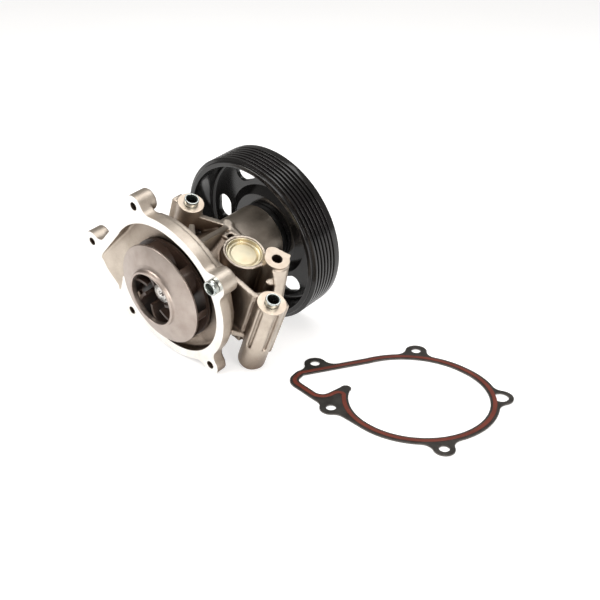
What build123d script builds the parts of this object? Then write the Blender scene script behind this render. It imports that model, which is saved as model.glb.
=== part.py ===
from build123d import *
import os
from math import atan2, cos, degrees, hypot, radians, sin

# Automotive coolant pump with its loose gasket. Millimetres.
# Row frame: origin where the shaft axis meets the mating face, +Y along the shaft towards the
# pulley, +Z upwards as the pump lies on a bench. The casting is drawn with its pads facing +Z
# and is leaned about the shaft by LEAN when it is written out.
LEAN = 23.4          # flange outline's lean about the shaft, towards +X
PAD_TILT = 3.7       # further lean of the pads, column and drain boss
BENCH_PITCH = 8.2    # how far the bench drops along the shaft, degrees
BENCH_DROP = 57.0    # bench below the origin, measured square to the bench

# Mating flange and volute recess, drawn as (X, Z)
FLANGE_T = 9.0
RECESS_DEPTH = 9.0
FLOOR_T = 6.0
OUTLET_DEEP_AT = -9.0    # where the outlet's sloped floor meets the recess floor, along the outlet
OUTLET_SHALLOW_AT = -61.5  # and where it comes up to the mating face
OUTLET_CORNER_R = 6.5
RIM_W = 7.0
BACK_W = 3.0          # volute wall left behind the rim
SCROLL_AT = 3.0       # centre of the scroll's round side, along X and Z
SCROLL_R = 50.0
SCROLL = {"right": (53.0, 3.0), "top": (3.0, 53.0), "left": (-54.0, 14.0), "bottom": (3.0, -47.0)}
OUTLET = [(-75.5, -34.0), (-73.0, -43.0), (-45.5, -45.5)]
TONGUE = [(-44.5, -27.0), (-41.5, -21.5), (-37.0, -25.5)]
EARS = {"ear_1": (-81.5, -16.3), "ear_2": (-41.4, 52.8), "ear_3": (43.2, 44.5),
        "ear_4": (54.6, -32.7), "ear_5": (-30.6, -50.8)}
EAR_R = {"ear_1": 8.5, "ear_2": 8.5, "ear_3": 9.5, "ear_4": 7.8, "ear_5": 8.5}
EAR_DEPTH = {"ear_1": 13.0, "ear_2": 15.0, "ear_3": 13.5, "ear_4": 9.0, "ear_5": 12.0}
EAR_BLEND = 8.0
BOLT_R = 3.4

# Dowel sleeves, pads and column, places as (X, Y)
SLEEVE_R = 5.5
SLEEVE_RELIEF = (-0.5, 0.3)   # relief groove where the sleeve leaves its seat
SLEEVE_RELIEF_R = 5.1
SLEEVE_BORE_R = 4.2
SLEEVE_LEN = 14.0
SLEEVE_PROUD = 4.5
PAD_Z = 40.0
PAD_R = 9.8
PAD_A = (-31.0, 45.3)
PAD_B = (44.9, 61.2)
PAD_C = (71.4, 28.6)
BAR = [(44, 68), (50, 71.5), (73.5, 38.5), (70, 31), (60, 44), (46, 55)]
BAR_Z = 37.5
PAD_B_HOLE_R = 4.25
PAD_B_HOLE_DEPTH = 22.0
COLUMN_R = 10.5
COLUMN_FOOT_Z = -31.0
COLUMN_BLOCK = [(57.8, 27.4), (64, 20.9), (71.4, 19.5), (71.4, 38), (61, 36)]
COLUMN_FIN = [(73, 30), (77, 40.5)]
GROOVE_ANGLES = (-91.0, -19.0)
GROOVE_W = 3.0
GROOVE_END_Z = -5.0

# Bearing neck and drain chamber
NECK_R = 25.0
NECK_END = 100.5
NECK_ROOT_R = 36.0
NECK_ROOT_END = 27.0
PLUG_AT = (22.1, 52.4)
PLUG_R = 14.0
PLUG_RING_R = 16.6
PLUG_Z = 32.0
CHAMBER_R = 12.5
CHAMBER_FLOOR_Z = 20.5
KNOB_AT = (-8.5, 66.1)
WEEP_AT = (3.2, 58.2)
WEEP_SIDE = 5.0
WEEP_WALL = 2.2
WEEP_TURN = 8.0
WEEP_Z = (10.0, 27.0)

# Shaft bearing
SHAFT_R = 9.5
RACE_R = 19.0
RACE_IN_R = 16.3
RACE_Y = (43.0, 97.0)
PITCH_R = 12.9
BALL_R = 3.9
BALL_COUNT = 8
BALL_Y = 57.0
ROLLER_R = 3.35
ROLLER_LEN = 9.0
ROLLER_COUNT = 10
ROLLER_Y = 82.0
RUN_GAP = 0.06
CAGE_GAP = 0.15

# Shaft ends and face seal
TIP_R = 6.0
SEAL_SHAFT_R = 8.0
SHAFT_TIP_Y = -4.2
SHAFT_STEP_Y = 9.5
SEAL_BORE_R = 18.0
SEAL_BORE_END = 31.0
GALLERY_R = 15.0
GALLERY_Y = (31.0, 43.0)
SEAT_Y = (10.0, 15.5)
CARBON_Y = (15.5, 20.5)
CUP_Y = (19.0, 31.0)

# Impeller
IMPELLER_R = 39.7
EYE_R = 20.5
EYE_Y = -14.2
SHROUD_EDGE_Y = -6.0
SHROUD_T = 2.0
DISC_Y = (4.8, 7.4)
HUB_R = 11.5
HUB_FRONT_Y = -2.0
INSERT_R = 8.0
INSERT_FRONT_Y = -3.6
VANE_COUNT = 7
VANE_T = 2.2

# Pulley and drive hub
PULLEY_R = 69.0
PULLEY_IN_R = 62.3
PULLEY_Y = (86.6, 116.6)
RIB_PITCH = 3.56
RIB_DEPTH = 2.7
RIB_COUNT = 8
RIB_FLAT = 0.9
RIB_START = 2.1      # first groove bottom behind the front face
GROOVE_FLAT = 0.2
WEB_Y = (110.5, 114.0)
HUB_PLATE_Y = (106.0, 109.5)
HUB_PLATE_R = 33.0
WINDOW_R = 49.0
WINDOW_SIZE = (21.0, 13.0)
WINDOW_COUNT = 6
WINDOW_FIRST = 14.0
DRIVE_R = 24.5
DRIVE_Y = (101.4, 106.0)
BOLT_PCD_R = 18.5
PULLEY_BOLTS = 4
PULLEY_BOLT_R = 4.0
PULLEY_HOLE_R = 4.2

# Gasket
GASKET_T = 1.0
BEAD_W = 3.0
BEAD_EDGE = 1.6      # carrier left showing inside the bead
BEAD_TURN_R = 7.0    # the bead cuts across the tongue with this radius
BEAD_H = 0.35
GASKET_AT = (170.3, 77.3)
GASKET_TURN = -4.1


def slab(sketch, y0, y1):
    """Extrude an (X, Z) sketch along the shaft from y0 to y1."""
    solid = extrude(sketch, amount=y1 - y0, dir=(0, 0, -1))
    return Pos(0, y0, 0) * Rot(90, 0, 0) * solid


def turned(points):
    """Revolve a closed (radius, y) outline about the shaft."""
    return revolve(make_face(Polyline(*points, close=True)), axis=Axis.Y)


def tube(r_out, r_in, y0, y1):
    return turned([(r_in, y0), (r_out, y0), (r_out, y1), (r_in, y1)])


def rod(radius, y0, y1, x=0.0, z=0.0):
    """Cylinder along the shaft direction."""
    return Pos(x, (y0 + y1) / 2, z) * Rot(90, 0, 0) * Cylinder(radius, y1 - y0)


def post(radius, at, z0, z1):
    """Cylinder square to the pads."""
    return Pos(at[0], at[1], (z0 + z1) / 2) * Cylinder(radius, z1 - z0)


def wall(start, end, thickness, z0, z1):
    """Upright plate between two (X, Y) points."""
    length = hypot(end[0] - start[0], end[1] - start[1])
    angle = degrees(atan2(end[1] - start[1], end[0] - start[0]))
    middle = ((start[0] + end[0]) / 2, (start[1] + end[1]) / 2, (z0 + z1) / 2)
    return Pos(*middle) * Rot(0, 0, angle) * Box(length, thickness, z1 - z0)


def strut(start, end, width, depth):
    """Straight rib between two points of its crest, hanging depth below it."""
    run = Vector(*end) - Vector(*start)
    side = Vector(0, 0, 1).cross(run).normalized() * (width / 2)
    low = Vector(0, 0, -depth)
    corners = [Vector(*start) + side, Vector(*end) + side, Vector(*end) - side, Vector(*start) - side]
    top = Polyline(*corners, close=True)
    return extrude(make_face(top), amount=depth, dir=low.normalized())


def recess_outline(with_tongue=True):
    """Volute outline on the mating face: scroll arcs, outlet corner and cutwater tongue."""
    corner = cos(radians(45)) * SCROLL_R
    right = ThreePointArc(SCROLL["bottom"], (SCROLL_AT + corner, SCROLL_AT - corner), SCROLL["right"])
    top = ThreePointArc(SCROLL["right"], (SCROLL_AT + corner, SCROLL_AT + corner), SCROLL["top"])
    left = ThreePointArc(SCROLL["top"], (-36.5, 40.0), SCROLL["left"])
    lines = [right, top, left, Polyline(SCROLL["left"], *OUTLET)]
    if with_tongue:
        lines.append(Polyline(OUTLET[-1], TONGUE[0]))
        lines.append(ThreePointArc(*TONGUE))
        lines.append(ThreePointArc(TONGUE[-1], (-20.0, -41.5), SCROLL["bottom"]))
    else:
        lines.append(Line(OUTLET[-1], SCROLL["bottom"]))
    face = make_face(Curve() + lines)
    corners = [v for v in face.vertices() if v.X < -45 and v.Y < -40]
    return fillet(corners, OUTLET_CORNER_R)


def flange_outline(inset=0.0):
    """Rim and five ears, with blended inside corners."""
    shape = offset(recess_outline(with_tongue=False), RIM_W)
    for name, (x, z) in EARS.items():
        shape += Pos(x, z) * Circle(EAR_R[name])
    shape = offset(offset(shape, EAR_BLEND), -EAR_BLEND)
    return offset(shape, -inset) if inset else shape


def flange():
    body = slab(flange_outline(), 0, FLANGE_T)
    body += slab(offset(recess_outline(with_tongue=False), BACK_W), FLANGE_T, RECESS_DEPTH + FLOOR_T)
    for name, (x, z) in EARS.items():
        body += rod(EAR_R[name], 0, EAR_DEPTH[name], x, z)
    return body


def neck():
    """Bearing neck with a conical root on the back of the volute."""
    root = RECESS_DEPTH + 2
    return turned([(0, root), (NECK_ROOT_R, root), (NECK_ROOT_R, RECESS_DEPTH + FLOOR_T),
                   (NECK_R, NECK_ROOT_END), (NECK_R, NECK_END), (0, NECK_END)])


def prism(outline, z0, z1):
    """Extrude an (X, Y) polygon square to the pads."""
    return Pos(0, 0, z0) * extrude(make_face(Polyline(*outline, close=True)), amount=z1 - z0)


def column():
    """Long bolt column under pad C, with its block, fin and two lightening grooves."""
    body = fillet(post(COLUMN_R, PAD_C, COLUMN_FOOT_Z, PAD_Z).faces().sort_by(Axis.Z)[0].edges(), 4)
    body += prism(COLUMN_BLOCK, 0, PAD_Z - 1.5)
    body += wall(*COLUMN_FIN, 6, COLUMN_FOOT_Z + 12, PAD_Z - 3)
    height = PAD_Z - 2 - GROOVE_END_Z
    for angle in GROOVE_ANGLES:
        across = Pos(*PAD_C, GROOVE_END_Z + height / 2) * Rot(0, 0, angle) * Pos(COLUMN_R, 0, 0)
        body -= across * Box(GROOVE_W + 2, GROOVE_W, height)
    return body


def pads():
    """Pads A and B with the walls that carry them."""
    body = post(PAD_R, PAD_A, -8, PAD_Z)
    body += wall((-43, 42), (-31, 42), 9, 4, PAD_Z - 1)
    body += post(PAD_R - 0.5, PAD_B, 0, PAD_Z)
    body += post(6.0, (39.5, 63), PAD_Z - 12, PAD_Z)
    body += wall((44, 66), (50, 69), 8, PAD_Z - 14, PAD_Z)
    body += prism(BAR, -4, BAR_Z)
    body += wall((38, 23.5), (60, 24.5), 5, -14, PAD_Z - 1)
    body += wall((24, 56), PAD_B, 9, -4, PAD_Z - 12)
    return body + post(3.2, (54.6, 45.6), 20, PAD_Z - 5)


def ribs():
    """Stiffening ribs between neck, rim and pads, and their crossing boss."""
    body = post(4.4, KNOB_AT, 15, NECK_R + 1.6)
    body += strut((-9, 65, 25.8), (-22, 48, 33), 4.5, 14)
    body += strut((-7, 63, 25.8), (9.5, 10, 56), 4.5, 16)
    body += strut((-7, 65, 25.8), (14, 64, 28), 4.5, 10)
    body += strut((7, 10, 55), (-14.5, 31, 41), 4.0, 12)
    return body + strut((12, 10, 54), (37, 19, 46), 3.5, 10)


def pads_and_ribs():
    ring = post(PLUG_RING_R, PLUG_AT, -4, PLUG_Z)
    return column() + pads() + ribs() + ring + weep_block(WEEP_SIDE + 2 * WEEP_WALL) + pocket_floor()


def weep_block(side, sink=0.0):
    """Square block round the weep opening, or the opening itself."""
    z0, z1 = WEEP_Z
    middle = Pos(*WEEP_AT, (z0 + z1) / 2 + sink) * Rot(0, 0, WEEP_TURN)
    return middle * Box(side, side, z1 - z0)


def pocket_floor():
    """Floor of the pocket between flange, neck, pad B and the column."""
    outline = Polyline((10, 12), (50, 12), (66, 24), (48, 58), (20, 56), close=True)
    return Pos(0, 0, -6) * extrude(make_face(outline), amount=5)


def outlet_floor():
    """Sloped floor that rises along the outlet from the recess floor to the mating face."""
    start, end = SCROLL["left"], OUTLET[0]
    along = Vector(start[0] - end[0], 0, start[1] - end[1]).normalized()
    across = Vector(along.Z, 0, -along.X)
    deep, shallow = along * OUTLET_DEEP_AT, along * OUTLET_SHALLOW_AT
    far = along * (OUTLET_SHALLOW_AT - 20)
    back = Vector(0, RECESS_DEPTH, 0)
    corners = [deep + back, shallow, far, far + back]
    wedge = extrude(make_face(Polyline(*corners, close=True)), amount=120, dir=across, both=True)
    return wedge - rod(IMPELLER_R + 2.5, -1, RECESS_DEPTH + 1)


def bores():
    """Everything machined out of the casting."""
    cut = slab(recess_outline(), -1, RECESS_DEPTH) - outlet_floor()
    cut += rod(SEAL_BORE_R, RECESS_DEPTH - 2, SEAL_BORE_END)
    cut += rod(GALLERY_R, SEAL_BORE_END - 1, GALLERY_Y[1] + 1)
    cut += rod(RACE_R, GALLERY_Y[1], NECK_END + 1)
    for name, (x, z) in EARS.items():
        radius = SLEEVE_R if name == "ear_3" else BOLT_R
        cut += rod(radius, -1, EAR_DEPTH[name] + 1, x, z)
    return cut


def pad_bores():
    """Sleeve seats, the threaded hole, the drain chamber and its weep and drain holes."""
    cut = post(PAD_B_HOLE_R, PAD_B, PAD_Z - PAD_B_HOLE_DEPTH, PAD_Z + 1)
    for pad in (PAD_A, PAD_C):
        cut += post(SLEEVE_R, pad, PAD_Z - SLEEVE_LEN + SLEEVE_PROUD, PAD_Z + 1)
    cut += post(SLEEVE_BORE_R, PAD_A, PAD_Z - 30, PAD_Z)
    cut += post(SLEEVE_BORE_R, PAD_C, COLUMN_FOOT_Z - 1, PAD_Z)
    cut += post(PLUG_R, PLUG_AT, PLUG_Z - 4, PLUG_Z + 1)
    cut += post(CHAMBER_R, PLUG_AT, CHAMBER_FLOOR_Z, PLUG_Z)
    cut += weep_block(WEEP_SIDE, sink=4)
    drain = Plane(origin=(9, 40, 6), z_dir=(8, 4, 15))
    return cut + drain * Pos(0, 0, 9) * Cylinder(2.5, 18)


def pump_housing():
    tilt = Rot(0, PAD_TILT, 0)
    casting = flange() + neck() + tilt * pads_and_ribs()
    return casting - bores() - tilt * pad_bores()


def core_plug():
    """Pressed steel cup closing the drain chamber."""
    cup = post(PLUG_R, PLUG_AT, PLUG_Z - 4, PLUG_Z - 0.6)
    cup -= post(PLUG_R - 1.2, PLUG_AT, PLUG_Z - 2.8, PLUG_Z)
    return Rot(0, PAD_TILT, 0) * cup


def dowel_sleeve():
    """Ring dowel along +Y, seated at y < 0 and proud at y > 0, with a relief groove between."""
    seat = SLEEVE_PROUD - SLEEVE_LEN
    low, high = SLEEVE_RELIEF
    return tube(SLEEVE_R, SLEEVE_BORE_R, seat, SLEEVE_PROUD) - tube(SLEEVE_R + 1, SLEEVE_RELIEF_R, low, high)


def dowel_sleeves():
    upright = Rot(90, 0, 0) * dowel_sleeve()
    sleeves = [Rot(0, PAD_TILT, 0) * Pos(*pad, PAD_Z) * upright for pad in (PAD_A, PAD_C)]
    x, z = EARS["ear_3"]
    sleeves.append(Pos(x, 0, z) * Rot(180, 0, 0) * dowel_sleeve())
    return Compound(sleeves)


def ball_groove():
    """Ring that the balls run in, used to groove the shaft and the race."""
    section = Pos(PITCH_R, BALL_Y) * Circle(BALL_R + RUN_GAP)
    return revolve(section, axis=Axis.Y)


def bearing_outer_race():
    return tube(RACE_R, RACE_IN_R, *RACE_Y) - ball_groove()


def pump_shaft():
    shaft = rod(TIP_R, SHAFT_TIP_Y, SHAFT_STEP_Y + 1)
    shaft += rod(SEAL_SHAFT_R, SHAFT_STEP_Y, RACE_Y[0] - 2)
    shaft += rod(SHAFT_R, RACE_Y[0] - 2, HUB_PLATE_Y[1] + 3)
    return shaft - ball_groove()


def around(shape, count, radius, y, first=0.0):
    """Copies of a shape at a radius from the shaft."""
    copies = []
    for index in range(count):
        angle = radians(first + 360.0 * index / count)
        copies.append(Pos(radius * cos(angle), y, radius * sin(angle)) * shape)
    return copies


def bearing_balls():
    return Compound(around(Sphere(BALL_R), BALL_COUNT, PITCH_R, BALL_Y))


def bearing_rollers():
    roller = Rot(90, 0, 0) * Cylinder(ROLLER_R, ROLLER_LEN)
    return Compound(around(roller, ROLLER_COUNT, PITCH_R, ROLLER_Y))


def ball_cage():
    cage = tube(PITCH_R + 1.2, PITCH_R - 1.2, BALL_Y - 5.2, BALL_Y + 5.2)
    for index in range(BALL_COUNT):
        spoke = Rot(0, 360.0 * index / BALL_COUNT, 0) * Pos(PITCH_R, BALL_Y, 0) * Rot(0, 90, 0)
        cage -= spoke * Cylinder(BALL_R + CAGE_GAP, 8)
    return cage


def roller_cage():
    half = ROLLER_LEN / 2
    cage = tube(PITCH_R + 1.1, PITCH_R - 1.1, ROLLER_Y - half - 1.8, ROLLER_Y + half + 1.8)
    window = Rot(90, 0, 0) * Cylinder(ROLLER_R + CAGE_GAP, ROLLER_LEN + 2 * CAGE_GAP)
    for pocket in around(window, ROLLER_COUNT, PITCH_R, ROLLER_Y):
        cage -= pocket
    return cage


def bearing_seal(y0):
    return tube(RACE_IN_R, SHAFT_R + RUN_GAP, y0, y0 + 1.6)


def seal_cup():
    """Brass cup pressed into the seal bore, lipped against its mouth."""
    y0, y1 = CUP_Y
    wall_t = 0.9
    return turned([(SEAL_BORE_R - wall_t, y0), (SEAL_BORE_R, y0), (SEAL_BORE_R, y1), (9.6, y1),
                   (9.6, y1 - wall_t), (SEAL_BORE_R - wall_t, y1 - wall_t)])


def seal_bellows():
    """Rubber bellows from the back of the cup to the carbon ring."""
    y0 = CARBON_Y[1]
    y1 = CUP_Y[1] - 0.9
    return turned([(9.5, y0), (12.2, y0), (12.2, y0 + 2), (11.0, y0 + 3), (11.0, y0 + 4.5),
                   (12.2, y0 + 5.5), (12.2, y1 - 1.5), (16.8, y1 - 1.5), (16.8, y1), (9.5, y1)])


def seal_spring():
    """Coil spring that presses the carbon ring on the seat."""
    coil = Helix(pitch=2.4, height=6.6, radius=14.2)
    section = Plane(origin=coil @ 0, z_dir=coil % 0) * Circle(0.55)
    spring = sweep(section, path=coil, is_frenet=True)
    return Pos(0, 28.0, 0) * Rot(90, 0, 0) * spring


def carbon_ring():
    y0, y1 = CARBON_Y
    return turned([(10.2, y0), (12.4, y0), (12.4, y0 + 2), (13.2, y0 + 2), (13.2, y1), (9.6, y1),
                   (9.6, y0 + 2), (10.2, y0 + 2)])


def ceramic_ring():
    return tube(14.0, 9.4, SEAT_Y[0] + 1.5, SEAT_Y[1])


def seat_boot():
    """Rubber boot that carries the ceramic ring on the shaft."""
    y0 = SEAT_Y[0]
    return turned([(SEAL_SHAFT_R, y0), (15.4, y0), (15.4, y0 + 4.4), (14.0, y0 + 4.4),
                   (14.0, y0 + 1.5), (9.4, y0 + 1.5), (9.4, y0 + 5), (SEAL_SHAFT_R, y0 + 5)])


def passage_region():
    """Space between the back disc and the inner face of the shroud."""
    edge = SHROUD_EDGE_Y + SHROUD_T
    return turned([(0, DISC_Y[0]), (IMPELLER_R - 0.4, DISC_Y[0]), (IMPELLER_R - 0.4, edge),
                   (26, edge - 3.6), (EYE_R, edge - 6.0), (0, edge - 6.0)])


def impeller_body():
    """Back disc, hub and curved vanes."""
    body = rod(IMPELLER_R, *DISC_Y) + rod(HUB_R, HUB_FRONT_Y, SHAFT_STEP_Y)
    vanes = passage_region() & vane_ring()
    return body + vanes - rod(INSERT_R, -6, SHAFT_STEP_Y + 1)


def vane_ring():
    blades = []
    for index in range(VANE_COUNT):
        turn = 360.0 * index / VANE_COUNT
        arc = ThreePointArc((10.5, 0), (22, 14.5), (14, 37.5))
        blades.append(slab(Rot(0, 0, turn) * trace(arc, VANE_T), EYE_Y, DISC_Y[0] + 0.5))
    return Part() + blades


def impeller_shroud():
    """Front shroud rising to a raised eye collar."""
    edge = SHROUD_EDGE_Y
    rim = IMPELLER_R
    return turned([(rim, edge), (rim, edge + SHROUD_T), (26, edge + SHROUD_T - 3.6),
                   (EYE_R, edge + SHROUD_T - 6.0), (EYE_R, EYE_Y), (EYE_R + 1.8, EYE_Y),
                   (EYE_R + 2.1, edge - 4.8), (26, edge - 3.5)])


def impeller_insert():
    return tube(INSERT_R, TIP_R, INSERT_FRONT_Y, SHAFT_STEP_Y)


def groove_outline():
    """Rim of the pulley as (radius, y): a low front lip, seven ribs and a plain back lip."""
    y0, y1 = PULLEY_Y
    floor = PULLEY_R - RIB_DEPTH
    points = [(PULLEY_IN_R, y0), (floor, y0)]
    half = RIB_PITCH / 2 - RIB_FLAT
    for index in range(RIB_COUNT - 1):
        bottom = y0 + RIB_START + index * RIB_PITCH
        if index:
            points += [(PULLEY_R, bottom - half), (floor, bottom - GROOVE_FLAT)]
        points += [(floor, bottom + GROOVE_FLAT), (PULLEY_R, bottom + half)]
    points += [(PULLEY_R, y1 - 0.4), (PULLEY_R - 0.4, y1), (PULLEY_IN_R, y1)]
    return points


def pulley():
    """Grooved ring, windowed web and raised hub plate in one pressing."""
    web0, web1 = WEB_Y
    plate0, plate1 = HUB_PLATE_Y
    body = turned(groove_outline())
    body += tube(PULLEY_IN_R + 1, HUB_PLATE_R + 5, web0, web1)
    body += turned([(SHAFT_R + 0.5, plate0), (HUB_PLATE_R - 1, plate0), (HUB_PLATE_R + 5.5, web0),
                    (HUB_PLATE_R + 5.5, web1), (HUB_PLATE_R - 1, plate1), (SHAFT_R + 0.5, plate1)])
    window = SlotOverall(*WINDOW_SIZE)
    for index in range(WINDOW_COUNT):
        turn = WINDOW_FIRST + 360.0 * index / WINDOW_COUNT
        body -= slab(Rot(0, 0, turn) * Pos(WINDOW_R, 0) * Rot(0, 0, 90) * window, web0 - 2, web1 + 2)
    for bolt in around(rod(PULLEY_HOLE_R, 0, 12), PULLEY_BOLTS, BOLT_PCD_R, plate0 - 3):
        body -= bolt
    return body


def drive_hub():
    """Steel hub pressed on the shaft; the pulley bolts to its flange."""
    y0, y1 = DRIVE_Y
    hub = rod(DRIVE_R, y0, y1) - rod(SHAFT_R, y0 - 1, y1 + 8)
    for bolt in around(rod(PULLEY_BOLT_R, 0, 12), PULLEY_BOLTS, BOLT_PCD_R, y0 - 3):
        hub -= bolt
    return hub


def pulley_bolts():
    """Hexagon-flange screws, entered from the pulley's open face."""
    plate1 = HUB_PLATE_Y[1]
    length = plate1 - DRIVE_Y[0]
    screw = rod(PULLEY_BOLT_R, -length, 0.5) + rod(8.2, 0, 1.4)
    screw += slab(RegularPolygon(6.6, 6), 1.2, 6.0)
    return Compound(around(screw, PULLEY_BOLTS, BOLT_PCD_R, plate1))


def on_bench(shape, height):
    """Lay a piece drawn on the mating face flat on the bench beside the pump."""
    flat = Rot(0, 0, GASKET_TURN) * Rot(-90, 0, 0) * shape
    placed = Pos(GASKET_AT[0], GASKET_AT[1], height - BENCH_DROP) * flat
    return Rot(-BENCH_PITCH, 0, 0) * placed


def gasket_carrier():
    sheet = flange_outline(0.4) - recess_outline()
    for name, (x, z) in EARS.items():
        radius = SLEEVE_R + 0.2 if name == "ear_3" else BOLT_R + 0.2
        sheet -= Pos(x, z) * Circle(radius)
    return on_bench(slab(sheet, -GASKET_T, 0), BEAD_H)


def gasket_bead():
    """Raised silicone bead on both faces of the carrier."""
    inner = offset(offset(recess_outline(), BEAD_TURN_R), -BEAD_TURN_R)
    band = offset(inner, BEAD_EDGE + BEAD_W) - offset(inner, BEAD_EDGE)
    beads = [on_bench(slab(band, -BEAD_H, 0), z) for z in (0.0, BEAD_H + GASKET_T)]
    return Compound(beads)


PUMP = {
    "pump_housing": pump_housing, "core_plug": core_plug, "dowel_sleeves": dowel_sleeves,
    "bearing_outer_race": bearing_outer_race, "pump_shaft": pump_shaft,
    "bearing_balls": bearing_balls, "ball_cage": ball_cage,
    "bearing_rollers": bearing_rollers, "roller_cage": roller_cage,
    "bearing_seal_front": lambda: bearing_seal(RACE_Y[0] + 0.8),
    "bearing_seal_rear": lambda: bearing_seal(RACE_Y[1] - 2.4),
    "seal_cup": seal_cup, "seal_bellows": seal_bellows, "seal_spring": seal_spring,
    "carbon_ring": carbon_ring, "ceramic_ring": ceramic_ring, "seat_boot": seat_boot,
    "impeller_body": impeller_body, "impeller_shroud": impeller_shroud,
    "impeller_insert": impeller_insert, "drive_hub": drive_hub, "pulley": pulley,
    "pulley_bolts": pulley_bolts,
}
GASKET = {"gasket_carrier": gasket_carrier, "gasket_bead": gasket_bead}

os.makedirs("parts", exist_ok=True)
for node, build in PUMP.items():
    export_step(Rot(0, LEAN, 0) * build(), f"parts/{node}.step")
for node, build in GASKET.items():
    export_step(build(), f"parts/{node}.step")
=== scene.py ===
import math

import bmesh
import bpy
from mathutils import Matrix, Vector


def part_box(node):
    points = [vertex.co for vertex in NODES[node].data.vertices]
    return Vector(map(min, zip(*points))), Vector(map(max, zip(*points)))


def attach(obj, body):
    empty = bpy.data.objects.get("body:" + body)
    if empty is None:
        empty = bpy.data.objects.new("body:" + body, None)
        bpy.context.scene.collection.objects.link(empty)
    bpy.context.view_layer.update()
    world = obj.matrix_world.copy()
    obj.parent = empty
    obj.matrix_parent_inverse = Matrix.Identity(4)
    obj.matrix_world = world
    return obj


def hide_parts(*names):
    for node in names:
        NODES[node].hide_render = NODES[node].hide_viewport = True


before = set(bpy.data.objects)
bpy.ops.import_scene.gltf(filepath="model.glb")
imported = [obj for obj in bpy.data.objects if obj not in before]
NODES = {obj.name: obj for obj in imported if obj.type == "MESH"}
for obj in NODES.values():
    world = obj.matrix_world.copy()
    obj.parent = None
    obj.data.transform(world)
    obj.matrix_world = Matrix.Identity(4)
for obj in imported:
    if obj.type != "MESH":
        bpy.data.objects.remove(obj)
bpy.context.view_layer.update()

MM = 0.001

# Camera, in the row frame
CAMERA_AT = Vector((0.4981, -0.3525, 0.3607))
CAMERA_RIGHT = Vector((0.7402, 0.6651, -0.0982))
CAMERA_DOWN = Vector((0.2982, -0.4556, -0.8387))
CAMERA_LENS = 57.5
CAMERA_SENSOR = 36
CAMERA_CLIP = 0.01

# The bench falls away along the shaft; the casting leans about the shaft
BENCH_PITCH = math.radians(8.2)
BENCH_DROP = 57.2 * MM
FLOOR_GLOW = 0.62
FLANGE_LEAN = math.radians(23.4)
PADS_LEAN = math.radians(27.1)

# Bench corners in its own plane, (x, y) in metres
FLOOR_CORNERS = ((-4.0, -0.42), (3.0, -0.42), (3.0, 5.0), (-4.0, 5.0))

# Area lights, all aimed at LIT_POINT: name, place, size, power, tint
LIT_POINT = (0.06, 0.06, 0.0)
LAMPS = (
    ("key", (-0.5, -0.7, 1.2), (0.9, 0.7), 15, (1.0, 0.97, 0.93)),
    ("top", (0.3, 0.5, 1.4), (1.2, 1.0), 10, (1, 1, 1)),
    ("side", (1.3, -0.2, 0.5), (0.6, 0.8), 11, (1.0, 0.96, 0.92)),
)
SKY_SEEN = (0.95, 0.95, 0.95, 1)
SKY_LIGHT = (0.30, 0.29, 0.28, 1)

# Casting, in mm: the machined planes are raised by SPARE before the edges are softened, then cut back
VOXEL = 0.75
SOFTEN_FACTOR = 0.5
SOFTEN_STEPS = 7
SPARE = 2.5
PADS_HEIGHT = 40.0
NECK_END = 100.5
PLANE_TOLERANCE = 0.03
FACING = 0.98
DOUBLES = 0.002
CAST_SHARP = 40

# Milling blocks, in mm. Each pad's block is (x low, x high, y low, y high) with the pads facing up
FACE_REACH = 120
FACE_BLOCK_FROM = -20
NECK_REACH = 32
NECK_BLOCK_TO = 120
PAD_BLOCKS = ((-52, -16, 30, 58), (30, 62, 50, 82), (55, 90, 12, 50))
PAD_BLOCK_TOP = 70

# Pulley, in mm. GROOVE_START is measured from its front face; the other y values are in the row frame
GROOVE_PITCH = 3.56
GROOVE_DEPTH = 2.7
GROOVE_COUNT = 7
GROOVE_LAND = 0.9
GROOVE_START = 2.1
GROOVE_FLAT = 0.2
RING_WALL = 6.7
WEB_Y = (110.5, 114.0)
HUB_PLATE_Y = (106.0, 109.5)
DISH_R = 38.5
HUB_PLATE_R = 32.0
HUB_BORE_R = 10.0
WINDOW_RADIUS = 49.0
WINDOW_LENGTH = 21.0
WINDOW_WIDTH = 13.0
WINDOW_COUNT = 6
WINDOW_TURN = math.radians(14.0) - FLANGE_LEAN
SCREW_CIRCLE_R = 18.5
SCREW_HOLE = 8.4
SCREW_COUNT = 4
SCREW_CUT_Y = (104.0, 112.0)

# Cuts that make a window, as (low y, high y, extra size): right through, then a wider mouth each side
WINDOW_CUTS = ((108.0, 117.0, 0.0), (113.3, 117.0, 1.0), (108.0, 111.2, 1.0))

# Impeller insert and shaft radii, in mm
INSERT_R = 8.0
BORE_R = 6.0
SHAFT_FRONT_R = 6.0
SHAFT_MIDDLE_R = 8.0
SHAFT_REAR_R = 9.5
CENTRE_R = 2.2
CENTRE_FLARE_R = 1.9
AXIS_R = 0.05

# Steps of turned sections, corner arcs and the round ends of slots
SPIN_STEPS = 192
SMALL_SPIN_STEPS = 96
PLUG_SPIN_STEPS = 128
ARC_STEPS = 4
SLOT_STEPS = 12

# Softened edges of the kept CAD nodes
WELD_DISTANCE = 0.005 * MM
BEVEL_SEGMENTS = 2
BEVEL_ANGLE = math.radians(40)


# ---------- meshes ----------

def link(name, mesh):
    made = bpy.data.objects.new(name, mesh)
    bpy.context.scene.collection.objects.link(made)
    return made


def mesh_from(name, build):
    """A mesh filled by build(bm)."""
    bm = bmesh.new()
    build(bm)
    bmesh.ops.recalc_face_normals(bm, faces=bm.faces)
    mesh = bpy.data.meshes.new(name)
    bm.to_mesh(mesh)
    bm.free()
    return mesh


def smooth(mesh, angle=32):
    mesh.shade_smooth()
    mesh.set_sharp_from_angle(angle=math.radians(angle))


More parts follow.
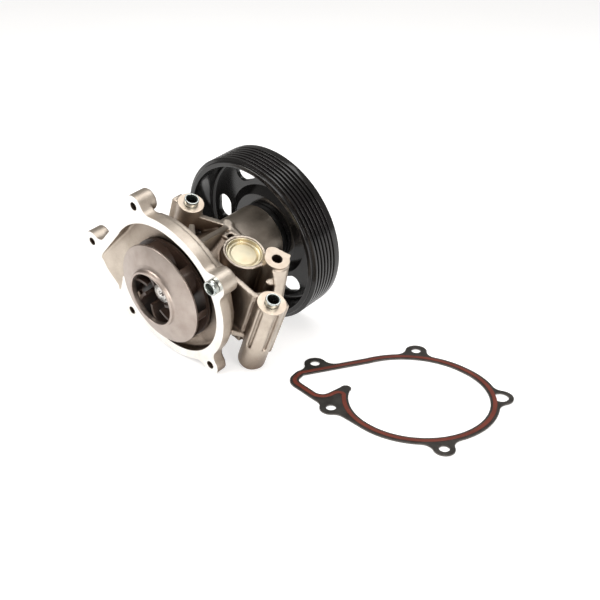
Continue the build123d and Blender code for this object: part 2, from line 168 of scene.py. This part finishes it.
def rounded(points):
    """A closed section of (radius, y, corner radius) with its corners turned into arcs, in mm."""
    outline = []
    count = len(points)
    for index, (x, y, radius) in enumerate(points):
        here = Vector((x, y))
        back = Vector(points[index - 1][:2]) - here
        ahead = Vector(points[(index + 1) % count][:2]) - here
        if radius <= 0:
            outline.append(here)
            continue
        half = back.angle(ahead) / 2
        cut = min(radius / math.tan(half), 0.45 * back.length, 0.45 * ahead.length)
        radius = cut * math.tan(half)
        centre = here + (back.normalized() + ahead.normalized()).normalized() * (radius / math.sin(half))
        start = here + back.normalized() * cut - centre
        end = here + ahead.normalized() * cut - centre
        for step in range(ARC_STEPS + 1):
            mix = start.lerp(end, step / ARC_STEPS)
            outline.append(centre + mix.normalized() * radius)
    return outline


def spun(name, points, steps=SPIN_STEPS):
    """A closed section turned about the shaft axis."""
    section = rounded(points)

    def build(bm):
        rings = []
        for step in range(steps):
            turn = 2 * math.pi * step / steps
            ring = []
            for p in section:
                place = (p.x * MM * math.cos(turn), p.y * MM, p.x * MM * math.sin(turn))
                ring.append(bm.verts.new(place))
            rings.append(ring)
        for step in range(steps):
            here, ahead = rings[step], rings[(step + 1) % steps]
            for index in range(len(section)):
                after = (index + 1) % len(section)
                bm.faces.new((here[index], here[after], ahead[after], ahead[index]))

    made = link(name, mesh_from(name, build))
    smooth(made.data)
    return made


def prism(outline, low, high, place):
    """A closed prism: an (x, z) outline in mm from y = low to high, set by a matrix."""
    def build(bm):
        ends = []
        for y in (low, high):
            ends.append([bm.verts.new(place @ Vector((x * MM, y * MM, z * MM))) for x, z in outline])
        bm.faces.new(ends[0])
        bm.faces.new(list(reversed(ends[1])))
        for index in range(len(outline)):
            after = (index + 1) % len(outline)
            bm.faces.new((ends[0][index], ends[1][index], ends[1][after], ends[0][after]))
    return build


def slot_outline(length, width):
    """A slot with round ends, its length along z."""
    outline = []
    for end, first in ((1, 0.0), (-1, math.pi)):
        for step in range(SLOT_STEPS + 1):
            turn = first + math.pi * step / SLOT_STEPS
            outline.append((width / 2 * math.cos(turn),
                            end * (length - width) / 2 + width / 2 * math.sin(turn)))
    return outline


def cut(piece, builds):
    """Takes the solids made by builds out of a piece and keeps the result as its mesh."""
    tools = []
    for index, build in enumerate(builds):
        tools.append(link(f"cutter_{index}", mesh_from("cutter", build)))
        change = piece.modifiers.new("cut", "BOOLEAN")
        change.operation = "DIFFERENCE"
        change.solver = "MANIFOLD"
        change.object = tools[-1]
    bake(piece)
    for tool in tools:
        bpy.data.objects.remove(tool)


def bake(piece):
    """Applies a piece's modifiers to its mesh."""
    bpy.context.view_layer.update()
    graph = bpy.context.evaluated_depsgraph_get()
    made = bpy.data.meshes.new_from_object(piece.evaluated_get(graph))
    piece.modifiers.clear()
    piece.data = made


def place_of(piece, body, slot, *nodes):
    """Puts a new piece on its body, in place of the CAD nodes."""
    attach(piece, body)
    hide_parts(*nodes)
    return piece


# ---------- materials ----------

class Look:
    """A procedural material, built node by node on a Principled shader."""

    def __init__(self, name, metal=0.0, **sockets):
        self.material = bpy.data.materials.new(name)
        self.material.use_nodes = True
        self.tree = self.material.node_tree
        self.shader = self.tree.nodes["Principled BSDF"]
        self.shader.inputs["Metallic"].default_value = metal
        for socket, value in sockets.items():
            self.shader.inputs[socket.replace("_", " ")].default_value = value
        self.place = self.add("ShaderNodeTexCoord").outputs["Object"]

    def add(self, kind, **settings):
        node = self.tree.nodes.new(kind)
        for key, value in settings.items():
            setattr(node, key, value)
        return node

    def feed(self, node, **links):
        """Sets a node's inputs: a socket is linked and anything else is a value."""
        for key, value in links.items():
            target = node.inputs[key.replace("_", " ")]
            if isinstance(value, bpy.types.NodeSocket):
                self.tree.links.new(value, target)
            else:
                target.default_value = value
        return node

    def noise(self, scale, detail=3.0, roughness=0.55, place=None):
        node = self.add("ShaderNodeTexNoise")
        self.feed(node, Vector=place or self.place, Scale=scale, Detail=detail, Roughness=roughness)
        return node.outputs["Fac"]

    def rings(self, scale):
        """Noise that changes with the distance from the shaft axis and along it: turning marks."""
        split = self.feed(self.add("ShaderNodeSeparateXYZ"), Vector=self.place)
        flat = self.add("ShaderNodeCombineXYZ")
        self.feed(flat, X=split.outputs["X"], Z=split.outputs["Z"])
        length = self.add("ShaderNodeVectorMath", operation="LENGTH")
        self.tree.links.new(flat.outputs[0], length.inputs[0])
        pair = self.feed(self.add("ShaderNodeCombineXYZ"), X=length.outputs["Value"], Y=split.outputs["Y"])
        return self.noise(scale, 4.0, 0.65, pair.outputs[0])

    def ramp(self, factor, *stops):
        """Colours or greys along a factor: (position, colour) pairs."""
        node = self.add("ShaderNodeValToRGB")
        self.tree.links.new(factor, node.inputs["Fac"])
        band = node.color_ramp
        while len(band.elements) < len(stops):
            band.elements.new(0.5)
        for element, (position, colour) in zip(band.elements, stops):
            element.position = position
            grey = isinstance(colour, float)
            element.color = (colour, colour, colour, 1) if grey else (*colour, 1)
        return node.outputs["Color"]

    def mix(self, factor, first, second):
        node = self.add("ShaderNodeMix", data_type="RGBA")
        for socket, value in ((0, factor), (6, first), (7, second)):
            if isinstance(value, bpy.types.NodeSocket):
                self.tree.links.new(value, node.inputs[socket])
            else:
                node.inputs[socket].default_value = (*value, 1) if isinstance(value, tuple) else value
        return node.outputs[2]

    def occlusion_shade(self, distance):
        """Mask for painted shade: white on open surfaces and dark where walls stand close together."""
        node = self.add("ShaderNodeAmbientOcclusion", samples=6)
        node.inputs["Distance"].default_value = distance
        return node.outputs["AO"]

    def colour(self, socket):
        self.feed(self.shader, Base_Color=socket)

    def rough(self, factor, low, high):
        node = self.add("ShaderNodeMapRange")
        self.feed(node, Value=factor, To_Min=low, To_Max=high)
        self.feed(self.shader, Roughness=node.outputs["Result"])

    def bump(self, height, depth_mm, strength):
        node = self.add("ShaderNodeBump")
        self.feed(node, Height=height, Distance=depth_mm * MM, Strength=strength)
        self.feed(self.shader, Normal=node.outputs["Normal"])
        return self


def cast_metal():
    """Warm grey die casting, with painted shade turning it dark brown in its pockets."""
    look = Look("cast_aluminium", metal=1.0)
    patches = look.ramp(look.noise(55, 5), (0.3, (0.46, 0.395, 0.33)), (0.7, (0.64, 0.57, 0.49)))
    grain = look.noise(1400, 3)
    speckled = look.mix(look.ramp(grain, (0.45, 0.0), (0.75, 0.35)), patches, (0.72, 0.66, 0.58))
    # Painted shade: the casting's colour goes to dark brown where walls stand close together
    painted_shade_fac = look.ramp(look.occlusion_shade(0.026), (0.30, 0.0), (0.88, 1.0))
    look.colour(look.mix(painted_shade_fac, (0.16, 0.115, 0.085), speckled))
    look.rough(look.noise(260, 4), 0.36, 0.54)
    return look.bump(grain, 0.10, 0.7).material


def machined_metal():
    """Bright milled faces with faint cutter marks."""
    look = Look("machined_aluminium", metal=1.0)
    marks = look.add("ShaderNodeTexWave", wave_type="BANDS", bands_direction="DIAGONAL")
    look.feed(marks, Vector=look.place, Scale=380.0, Distortion=6.0, Detail=2.0)
    look.colour(look.ramp(look.noise(90, 4), (0.3, (0.80, 0.77, 0.72)), (0.7, (0.90, 0.88, 0.85))))
    look.rough(marks.outputs["Fac"], 0.24, 0.36)
    return look.bump(marks.outputs["Fac"], 0.02, 0.4).material


def pad_metal():
    """Warm milled pad tops."""
    look = Look("pad_aluminium", metal=1.0)
    look.colour(look.ramp(look.noise(140, 4), (0.3, (0.60, 0.50, 0.40)), (0.7, (0.72, 0.63, 0.53))))
    marks = look.noise(1700, 3)
    look.rough(marks, 0.36, 0.5)
    return look.bump(marks, 0.03, 0.5).material


def metal(name, low, high, rough=(0.2, 0.34), turned=False, bump_mm=0.02):
    """A worked metal: two tones, uneven polish, and turning marks if it is turned."""
    look = Look(name, metal=1.0)
    look.colour(look.ramp(look.noise(120, 4), (0.3, low), (0.7, high)))
    fine = look.rings(1500) if turned else look.noise(1500, 3)
    look.rough(fine, *rough)
    return look.bump(fine, bump_mm, 0.5).material


def coated(name, low, high, rough, peel_mm=0.03):
    """Painted, moulded or rubber surface with an uneven finish and a soft orange peel."""
    look = Look(name)
    look.colour(look.ramp(look.noise(70, 5), (0.3, low), (0.75, high)))
    look.rough(look.noise(180, 5), *rough)
    return look.bump(look.noise(900, 2), peel_mm, 0.5).material


def plug_metal():
    """Yellow-passivated pressing with a soft change of hue across it."""
    look = Look("zinc_plug", metal=1.0)
    hues = ((0.25, (0.50, 0.47, 0.36)), (0.5, (0.66, 0.60, 0.44)), (0.75, (0.60, 0.50, 0.33)))
    look.colour(look.ramp(look.noise(60, 2), *hues))
    look.rough(look.noise(500, 3), 0.36, 0.46)
    return look.bump(look.noise(700, 2), 0.03, 0.4).material


def shroud_metal():
    """Satin shell with blotches and faint turning marks."""
    look = Look("impeller_shell", metal=1.0)
    blotches = look.ramp(look.noise(75, 5), (0.3, (0.36, 0.30, 0.265)), (0.7, (0.47, 0.41, 0.37)))
    spots = look.ramp(look.noise(420, 4), (0.62, 0.0), (0.8, 0.5))
    look.colour(look.mix(spots, blotches, (0.30, 0.24, 0.21)))
    marks = look.rings(1800)
    look.rough(marks, 0.34, 0.46)
    return look.bump(marks, 0.02, 0.5).material


def floor_tone():
    """Pale grey bench that glows, so that it renders near white."""
    look = Look("studio_floor", Roughness=0.85)
    look.colour(look.ramp(look.noise(3, 2), (0.3, (0.64, 0.64, 0.64)), (0.7, (0.66, 0.66, 0.66))))
    look.shader.inputs["Emission Color"].default_value = (1.0, 1.0, 1.0, 1)
    look.shader.inputs["Emission Strength"].default_value = FLOOR_GLOW
    return look.material


STEEL = metal("bearing_steel", (0.60, 0.59, 0.57), (0.72, 0.71, 0.69), turned=True, bump_mm=0.006)
ZINC = metal("zinc_steel", (0.38, 0.42, 0.41), (0.62, 0.64, 0.61), rough=(0.16, 0.30))
BLACK = coated("black_coat", (0.004, 0.004, 0.004), (0.009, 0.008, 0.008), rough=(0.11, 0.19), peel_mm=0.006)
BROWN = coated("impeller_bronze", (0.030, 0.018, 0.013), (0.060, 0.036, 0.026), rough=(0.28, 0.42))
RUBBER = coated("seal_rubber", (0.012, 0.012, 0.012), (0.028, 0.026, 0.025), rough=(0.5, 0.7))
FINISHES = {
    "dowel_sleeves": ZINC, "pulley_bolts": ZINC,
    "bearing_outer_race": STEEL, "bearing_balls": STEEL, "bearing_rollers": STEEL,
    "ball_cage": coated("cage_plastic", (0.10, 0.07, 0.04), (0.16, 0.12, 0.07), rough=(0.4, 0.55)),
    "bearing_seal_front": RUBBER, "bearing_seal_rear": RUBBER, "seal_bellows": RUBBER, "seat_boot": RUBBER,
    "seal_cup": metal("seal_brass", (0.62, 0.44, 0.20), (0.76, 0.57, 0.28)),
    "seal_spring": metal("spring_steel", (0.48, 0.47, 0.46), (0.62, 0.61, 0.59)),
    "carbon_ring": coated("carbon", (0.014, 0.014, 0.015), (0.032, 0.031, 0.031), rough=(0.35, 0.5)),
    "ceramic_ring": coated("ceramic_face", (0.74, 0.72, 0.66), (0.82, 0.80, 0.75), rough=(0.15, 0.25)),
    "impeller_body": BROWN,
    "drive_hub": coated("hub_steel", (0.008, 0.008, 0.008), (0.018, 0.017, 0.017), rough=(0.28, 0.4)),
    "gasket_carrier": metal("gasket_sheet", (0.085, 0.080, 0.074), (0.150, 0.140, 0.130), rough=(0.38, 0.55)),
    "gasket_bead": coated("silicone_bead", (0.115, 0.022, 0.012), (0.175, 0.036, 0.020), rough=(0.38, 0.55)),
}
FINISHES["roller_cage"] = FINISHES["ball_cage"]
# Edge widths in mm
BEVELS = {"dowel_sleeves": 0.45, "pulley_bolts": 0.35, "impeller_body": 0.3, "drive_hub": 0.4,
          "gasket_bead": 0.17, "gasket_carrier": 0.12}


def finish_cad_nodes():
    """Gives each kept CAD node its finish, and the visible ones softened edges."""
    for name, finish in FINISHES.items():
        node = NODES[name]
        node.data.materials.clear()
        node.data.materials.append(finish)
        if name in BEVELS:
            weld = node.modifiers.new("weld", "WELD")
            weld.merge_threshold = WELD_DISTANCE
            edge = node.modifiers.new("edge", "BEVEL")
            edge.width = BEVELS[name] * MM
            edge.segments = BEVEL_SEGMENTS
            edge.limit_method = "ANGLE"
            edge.angle_limit = BEVEL_ANGLE


# ---------- casting ----------

def pads_up():
    """The way that the pads face."""
    return Vector((math.sin(PADS_LEAN), 0, math.cos(PADS_LEAN)))


def on_plane(distance, plane_mm):
    """Whether a distance along an axis lies on a machined plane."""
    return abs(distance - plane_mm * MM) < PLANE_TOLERANCE * MM


def raised_blank():
    """The casting's CAD shape with its machined planes stood SPARE proud."""
    mesh = NODES["pump_housing"].data.copy()
    up = pads_up()
    for vertex in mesh.vertices:
        if on_plane(vertex.co.y, 0):
            vertex.co.y -= SPARE * MM
        elif on_plane(vertex.co.y, NECK_END):
            vertex.co.y += SPARE * MM
        elif on_plane(vertex.co.dot(up), PADS_HEIGHT):
            vertex.co += up * (SPARE * MM)
    bm = bmesh.new()
    bm.from_mesh(mesh)
    bmesh.ops.remove_doubles(bm, verts=bm.verts, dist=DOUBLES * MM)
    bm.to_mesh(mesh)
    bm.free()
    return mesh


def square(reach):
    return [(-reach, -reach), (reach, -reach), (reach, reach), (-reach, reach)]


def slab_cutters():
    """Blocks that mill the mating face, the neck's end and the three pads."""
    upright = Matrix.Identity(4)
    builds = [
        prism(square(FACE_REACH), FACE_BLOCK_FROM, 0, upright),
        prism(square(NECK_REACH), NECK_END, NECK_BLOCK_TO, upright),
    ]
    pads = Matrix.Rotation(PADS_LEAN, 4, "Y")
    for left, right, front, back in PAD_BLOCKS:
        outline = [
            (left, PADS_HEIGHT),
            (right, PADS_HEIGHT),
            (right, PAD_BLOCK_TOP),
            (left, PAD_BLOCK_TOP),
        ]
        builds.append(prism(outline, front, back, pads))
    return builds


def surface_of(face, up):
    """Material index of a casting face: 0 as cast, 1 milled, 2 the pads' tops."""
    at_an_end = on_plane(face.center.y, 0) or on_plane(face.center.y, NECK_END)
    if abs(face.normal.y) > FACING and at_an_end:
        return 1
    if face.normal.dot(up) > FACING and on_plane(face.center.dot(up), PADS_HEIGHT):
        return 2
    return 0


def casting():
    """Cast body: soft edges and fillets everywhere but on its machined planes."""
    piece = link("housing_casting", raised_blank())
    remesh = piece.modifiers.new("skin", "REMESH")
    remesh.mode = "VOXEL"
    remesh.voxel_size = VOXEL * MM
    soften = piece.modifiers.new("soften", "SMOOTH")
    soften.factor = SOFTEN_FACTOR
    soften.iterations = SOFTEN_STEPS
    bake(piece)
    cut(piece, slab_cutters())
    mesh = piece.data
    mesh.materials.clear()
    mesh.materials.append(cast_metal())
    mesh.materials.append(machined_metal())
    mesh.materials.append(pad_metal())
    up = pads_up()
    for face in mesh.polygons:
        face.material_index = surface_of(face, up)
    smooth(mesh, CAST_SHARP)
    return place_of(piece, "housing", "cast_aluminium", "pump_housing")


# ---------- turned and pressed pieces ----------

def pulley_section():
    """Grooved ring with its low front lip, web and a hub plate stepped towards the bearing."""
    low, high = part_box("pulley")
    radius = (high.x - low.x) / 2 / MM
    front, back = low.y / MM, high.y / MM
    inside = radius - RING_WALL
    floor = radius - GROOVE_DEPTH
    half = GROOVE_PITCH / 2 - GROOVE_LAND
    section = [(inside, front, 0.7), (floor, front, 0.7)]
    for index in range(GROOVE_COUNT):
        bottom = front + GROOVE_START + index * GROOVE_PITCH
        if index:
            section += [(radius, bottom - half, 0.3), (floor, bottom - GROOVE_FLAT, 0.15)]
        section += [(floor, bottom + GROOVE_FLAT, 0.15), (radius, bottom + half, 0.3)]
    web_front, web_back = WEB_Y
    plate_front, plate_back = HUB_PLATE_Y
    section += [(radius, back, 0.7), (inside, back, 0.7), (inside, web_back, 2.0)]
    section += [(DISH_R, web_back, 2.5), (HUB_PLATE_R, plate_back, 2.5), (HUB_BORE_R, plate_back, 0.4)]
    section += [(HUB_BORE_R, plate_front, 0.4), (HUB_PLATE_R, plate_front, 1.8)]
    section += [(DISH_R, web_front, 1.8), (inside, web_front, 3.0)]
    return section


def around(radius_mm, turn):
    """A point off the shaft axis, at an angle about it."""
    return Vector((radius_mm * MM * math.cos(turn), 0, radius_mm * MM * math.sin(turn)))


def window_cutters():
    builds = []
    for index in range(WINDOW_COUNT):
        turn = WINDOW_TURN + 2 * math.pi * index / WINDOW_COUNT
        place = Matrix.Translation(around(WINDOW_RADIUS, turn)) @ Matrix.Rotation(-turn, 4, "Y")
        for low, high, flare in WINDOW_CUTS:
            outline = slot_outline(WINDOW_LENGTH + flare, WINDOW_WIDTH + flare)
            builds.append(prism(outline, low, high, place))
    return builds


def screw_cutters():
    builds = []
    for index in range(SCREW_COUNT):
        turn = math.pi / 2 * index - FLANGE_LEAN
        place = Matrix.Translation(around(SCREW_CIRCLE_R, turn))
        builds.append(prism(slot_outline(SCREW_HOLE, SCREW_HOLE), *SCREW_CUT_Y, place))
    return builds


def pulley():
    """Turned pulley with its windows and screw holes."""
    piece = spun("pulley_shell", pulley_section())
    cut(piece, window_cutters() + screw_cutters())
    smooth(piece.data)
    piece.data.materials.clear()
    piece.data.materials.append(BLACK)
    for face in piece.data.polygons:
        face.material_index = 0
    return place_of(piece, "rotor", "black_coat", "pulley")


def impeller_shroud():
    """Front shroud: a dished shell with a collar around the eye."""
    low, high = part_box("impeller_shroud")
    rim = (high.x - low.x) / 2 / MM
    eye = low.y / MM
    section = [(rim, -6.0, 0.5), (rim, -4.0, 0.4), (26.0, -7.6, 3.0), (20.5, -10.0, 1.0)]
    section += [(20.5, eye, 0.4), (22.3, eye, 0.8), (22.6, -10.8, 2.2), (26.0, -9.5, 3.0)]
    piece = spun("shroud_shell", section)
    piece.data.materials.append(shroud_metal())
    return place_of(piece, "rotor", "impeller_shell", "impeller_shroud")


def impeller_insert():
    """Steel bush in the impeller's hub."""
    low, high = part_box("impeller_insert")
    front, back = low.y / MM, high.y / MM
    section = [(BORE_R, front, 0.4), (INSERT_R, front, 0.5), (INSERT_R, back, 0.3), (BORE_R, back, 0.2)]
    piece = spun("insert_bush", section, SMALL_SPIN_STEPS)
    piece.data.materials.append(STEEL)
    return place_of(piece, "rotor", "bearing_steel", "impeller_insert")


def shaft():
    """Stepped shaft with a turned centre in each end and a bearing groove."""
    low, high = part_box("pump_shaft")
    front, back = low.y / MM, high.y / MM
    section = [(AXIS_R, front + 2.6, 0), (CENTRE_FLARE_R, front + 0.7, 0), (CENTRE_R, front, 0.2)]
    section += [(5.4, front, 0.4), (SHAFT_FRONT_R, front + 1.2, 0.2), (SHAFT_FRONT_R, 9.5, 0)]
    section += [(SHAFT_MIDDLE_R, 9.5, 0.3), (SHAFT_MIDDLE_R, 41.0, 0), (SHAFT_REAR_R, 41.4, 0.3)]
    section += [(SHAFT_REAR_R, 55.0, 0), (9.0, 57.0, 0), (SHAFT_REAR_R, 59.0, 0)]
    section += [(SHAFT_REAR_R, back, 0.6), (CENTRE_R, back, 0.2)]
    section += [(CENTRE_FLARE_R, back - 0.7, 0), (AXIS_R, back - 2.6, 0)]
    piece = spun("shaft_turned", section, SMALL_SPIN_STEPS)
    piece.data.materials.append(STEEL)
    return place_of(piece, "rotor", "bearing_steel", "pump_shaft")


def plug():
    """Pressed plug with a rolled lip and a shallow dish."""
    low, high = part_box("core_plug")
    section = [(AXIS_R, -0.9, 0), (9.5, -0.9, 1.2), (11.0, -1.6, 0.8), (12.5, -1.6, 0.8)]
    section += [(13.0, 1.5, 0.3), (14.0, 1.5, 0.4), (14.0, -1.9, 0.8), (12.6, -2.5, 0.8), (AXIS_R, -2.2, 0)]
    piece = spun("plug_pressing", section, PLUG_SPIN_STEPS)
    turn = Matrix.Rotation(PADS_LEAN, 4, "Y") @ Matrix.Rotation(math.radians(90), 4, "X")
    piece.data.transform(Matrix.Translation((low + high) / 2) @ turn)
    piece.data.materials.append(plug_metal())
    return place_of(piece, "housing", "zinc_plug", "core_plug")


# ---------- stage, light and camera ----------

def floor():
    """The bench: it ends just behind the camera and runs far back beyond the pump."""
    def build(bm):
        bm.faces.new([bm.verts.new((x, y, -BENCH_DROP)) for x, y in FLOOR_CORNERS])

    stage = link("bench", mesh_from("bench", build))
    stage.data.transform(Matrix.Rotation(-BENCH_PITCH, 4, "X"))
    stage.data.materials.append(floor_tone())


def area_light(name, place, size, power, tint):
    lamp = bpy.data.lights.new(name, "AREA")
    lamp.shape = "RECTANGLE"
    lamp.size, lamp.size_y = size
    lamp.energy = power
    lamp.color = tint
    made = bpy.data.objects.new(name, lamp)
    made.location = place
    made.rotation_euler = (Vector(LIT_POINT) - Vector(place)).to_track_quat("-Z", "Y").to_euler()
    bpy.context.scene.collection.objects.link(made)


def lights():
    for lamp in LAMPS:
        area_light(*lamp)


def sky():
    """A near-white backdrop for the camera and a dimmer grey light for the pump."""
    world = bpy.data.worlds.new("studio")
    world.use_nodes = True
    tree = world.node_tree
    seen = tree.nodes.new("ShaderNodeBackground")
    seen.inputs["Color"].default_value = SKY_SEEN
    dim = tree.nodes["Background"]
    dim.inputs["Color"].default_value = SKY_LIGHT
    ray = tree.nodes.new("ShaderNodeLightPath")
    mix = tree.nodes.new("ShaderNodeMixShader")
    tree.links.new(ray.outputs["Is Camera Ray"], mix.inputs[0])
    tree.links.new(dim.outputs[0], mix.inputs[1])
    tree.links.new(seen.outputs[0], mix.inputs[2])
    tree.links.new(mix.outputs[0], tree.nodes["World Output"].inputs["Surface"])
    bpy.context.scene.world = world


def camera():
    lens = bpy.data.cameras.new("camera")
    lens.lens = CAMERA_LENS
    lens.sensor_width = CAMERA_SENSOR
    lens.clip_start = CAMERA_CLIP
    made = bpy.data.objects.new("camera", lens)
    bpy.context.scene.collection.objects.link(made)
    axes = (CAMERA_RIGHT, -CAMERA_DOWN, CAMERA_RIGHT.cross(-CAMERA_DOWN))
    turn = Matrix(axes).transposed().to_4x4()
    made.matrix_world = Matrix.Translation(CAMERA_AT) @ turn
    bpy.context.scene.camera = made


camera()
floor()
lights()
sky()
finish_cad_nodes()
casting()
pulley()
impeller_shroud()
impeller_insert()
shaft()
plug()
bpy.context.scene.view_settings.view_transform = "Standard"
